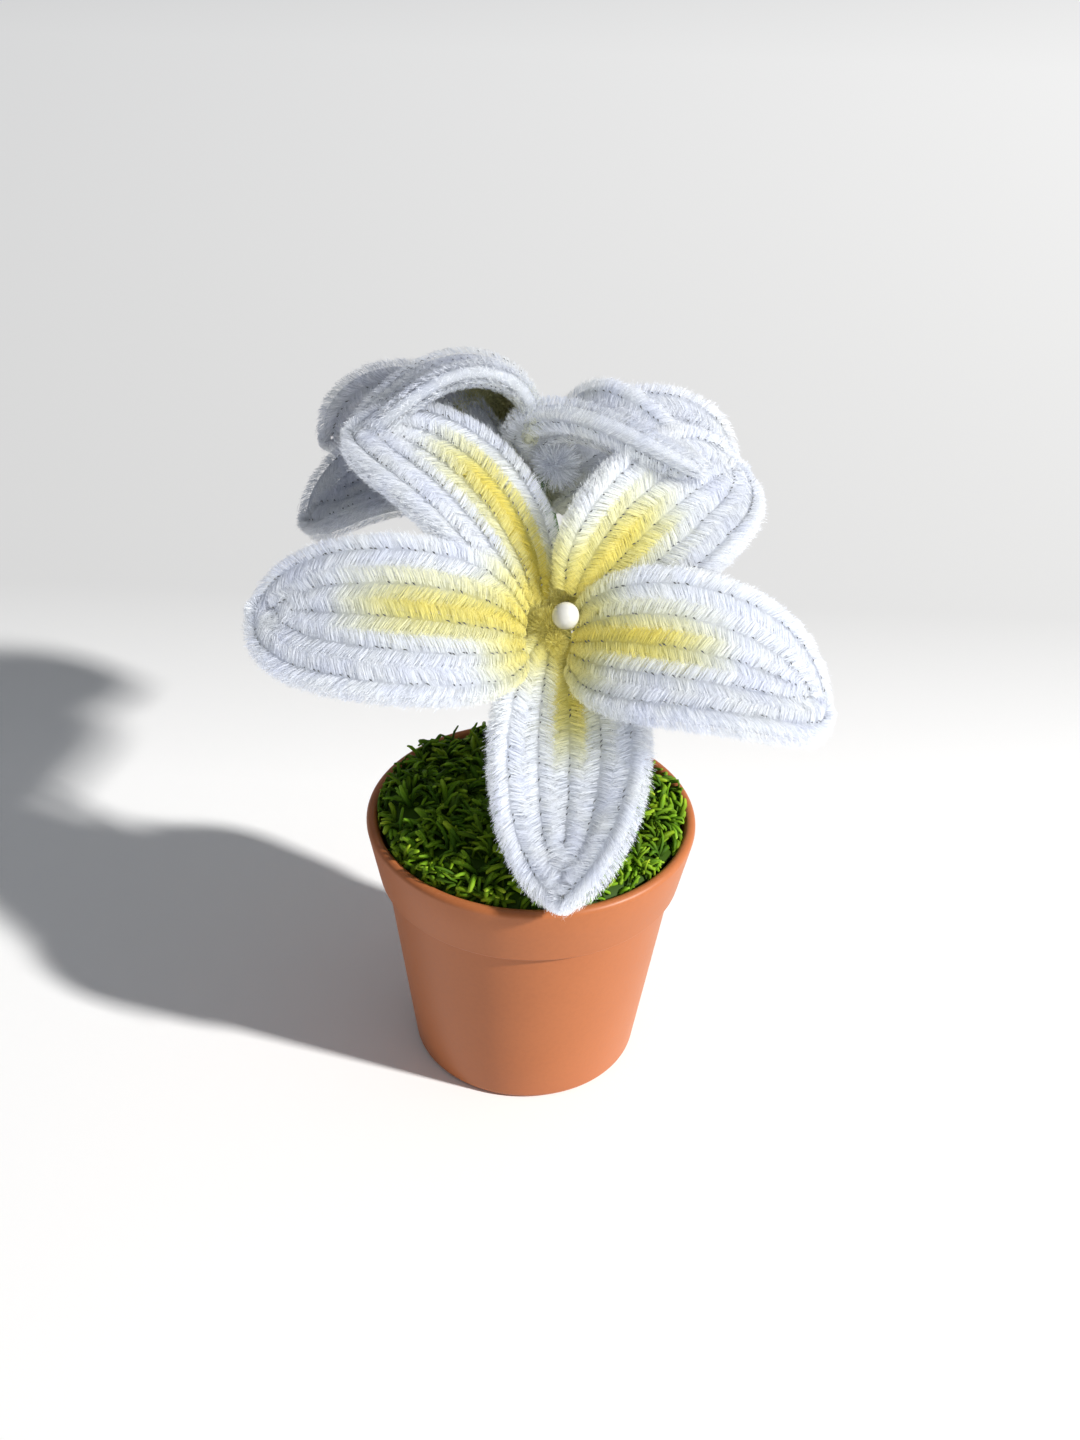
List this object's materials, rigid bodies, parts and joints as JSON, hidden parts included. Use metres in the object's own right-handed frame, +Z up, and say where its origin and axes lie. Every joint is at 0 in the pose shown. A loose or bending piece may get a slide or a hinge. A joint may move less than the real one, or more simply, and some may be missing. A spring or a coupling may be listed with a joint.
{
  "type": "potted chenille-stem frangipani craft flower",
  "caption": "Hand-made frangipani in white chenille stems with yellow throats and pearl-like beads, standing in green tufts in a terracotta-coloured plastic pot.",
  "frame": {"origin": "centre of the pot's underside", "axes": "+Z up; -Y is the front, where the front bloom's bottom petal hangs over the rim; +X is to the right seen from the front"},
  "size_m": [0.1276, 0.1305, 0.1564],
  "materials": {
    "terracotta_plastic": "satin, smooth",
    "white_chenille": "fluffy pile on a twisted wire, yellow towards the throat",
    "green_tufts": "soft looped tufts",
    "green_tape": "crinkled florist tape over wire",
    "pearl": "pearl lustre",
    "foam": "open foam"
  },
  "bodies": {
    "root": {"pot": "terracotta_plastic", "foam_plug": "foam", "moss": "green_tufts", "stem_front": "green_tape", "stem_back": "green_tape", "pearl_front": "pearl", "pearl_back": "pearl", "petal_front_bottom": "white_chenille", "petal_front_top_left": "white_chenille", "petal_front_right": "white_chenille", "petal_front_left": "white_chenille", "petal_front_top_right": "white_chenille", "petal_back_left": "white_chenille", "petal_back_right": "white_chenille", "petal_back_far_left": "white_chenille", "petal_back_far_right": "white_chenille", "petal_back_low_left": "white_chenille"}
  },
  "joints": []
}
